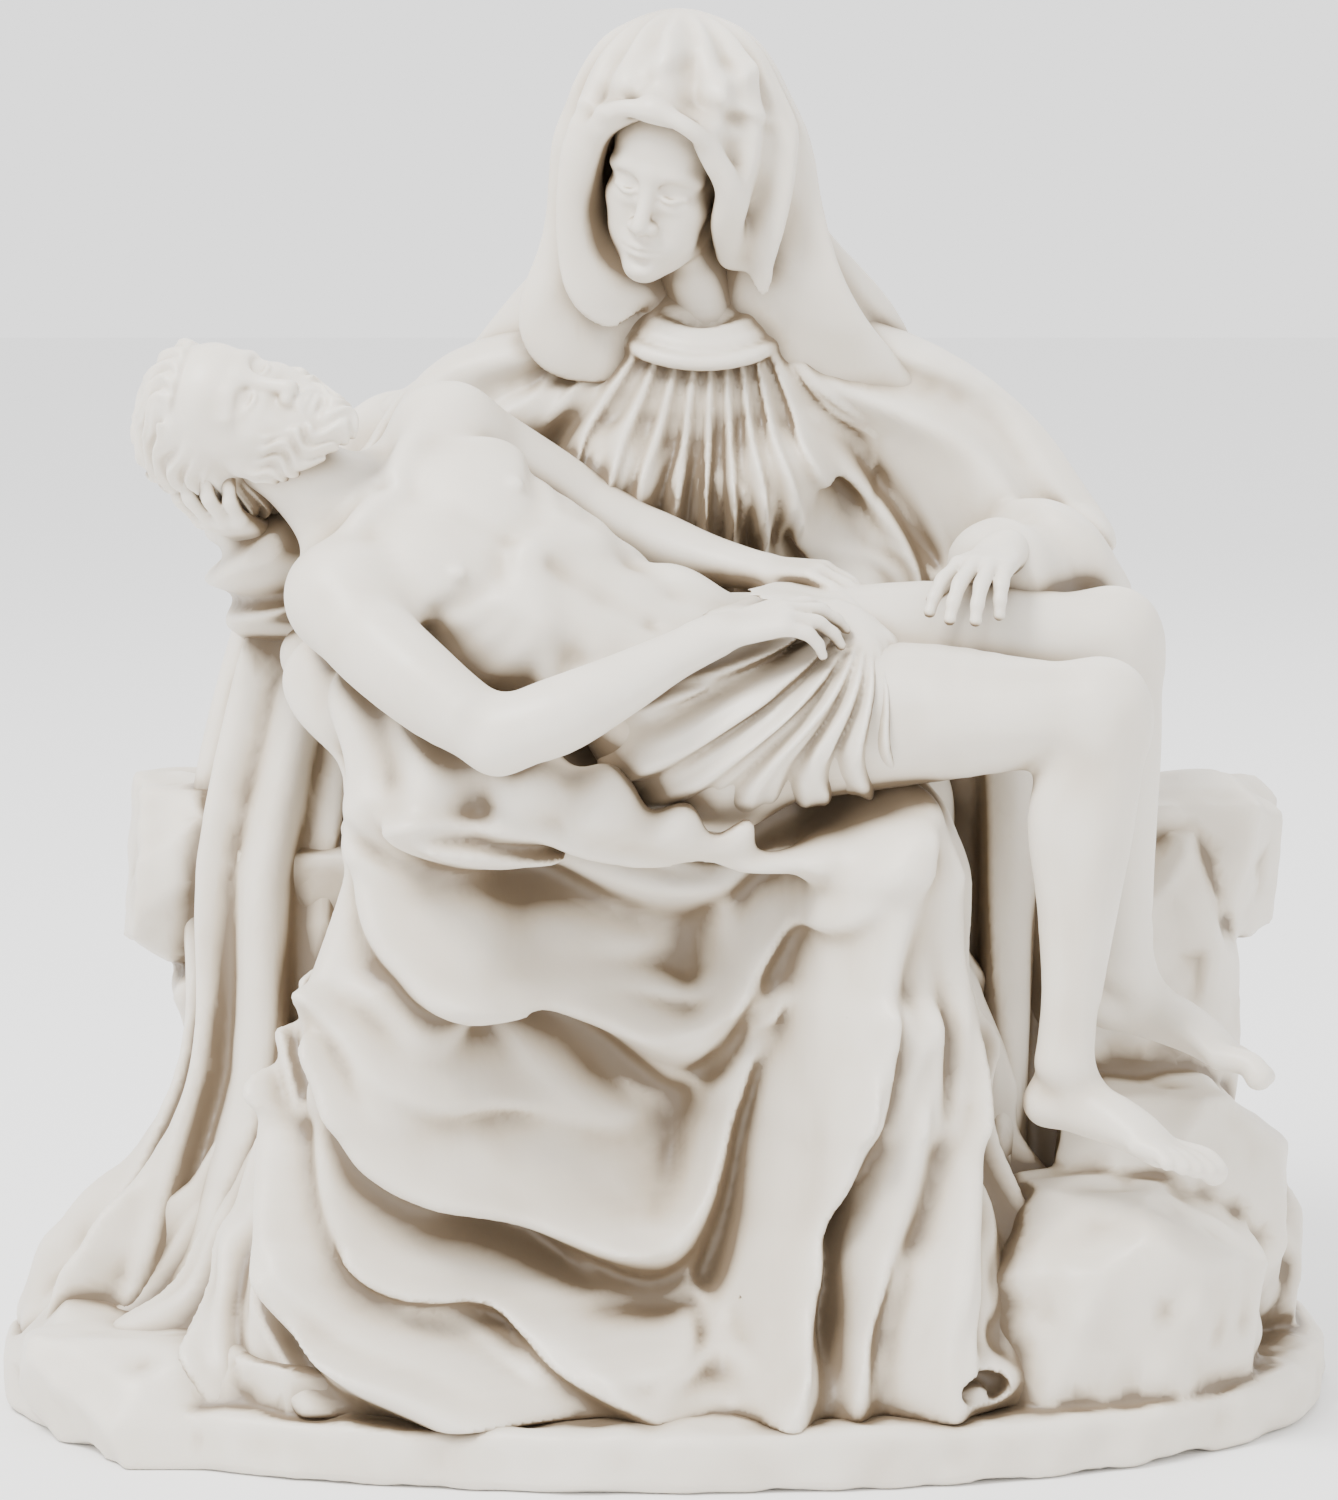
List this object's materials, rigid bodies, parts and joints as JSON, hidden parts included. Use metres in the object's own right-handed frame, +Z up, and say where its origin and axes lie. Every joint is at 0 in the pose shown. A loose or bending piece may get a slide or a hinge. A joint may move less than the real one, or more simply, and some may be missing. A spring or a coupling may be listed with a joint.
{
  "type": "pieta statuette",
  "caption": "Cast marble statuette of a veiled seated mother holding her dead son across her lap, on an oval rocky base.",
  "frame": {"origin": "middle of the flat underside of the oval base", "axes": "+Z up; the front, where the son lies, looks towards -Y; +X to the viewer's right"},
  "size_m": [0.2316, 0.1559, 0.2396],
  "materials": {
    "bonded_marble": "satin ivory white, hand rubbed, with a warm brown-grey tone in the hollows"
  },
  "bodies": {
    "root": {"pieta_group": "bonded_marble"}
  },
  "joints": []
}
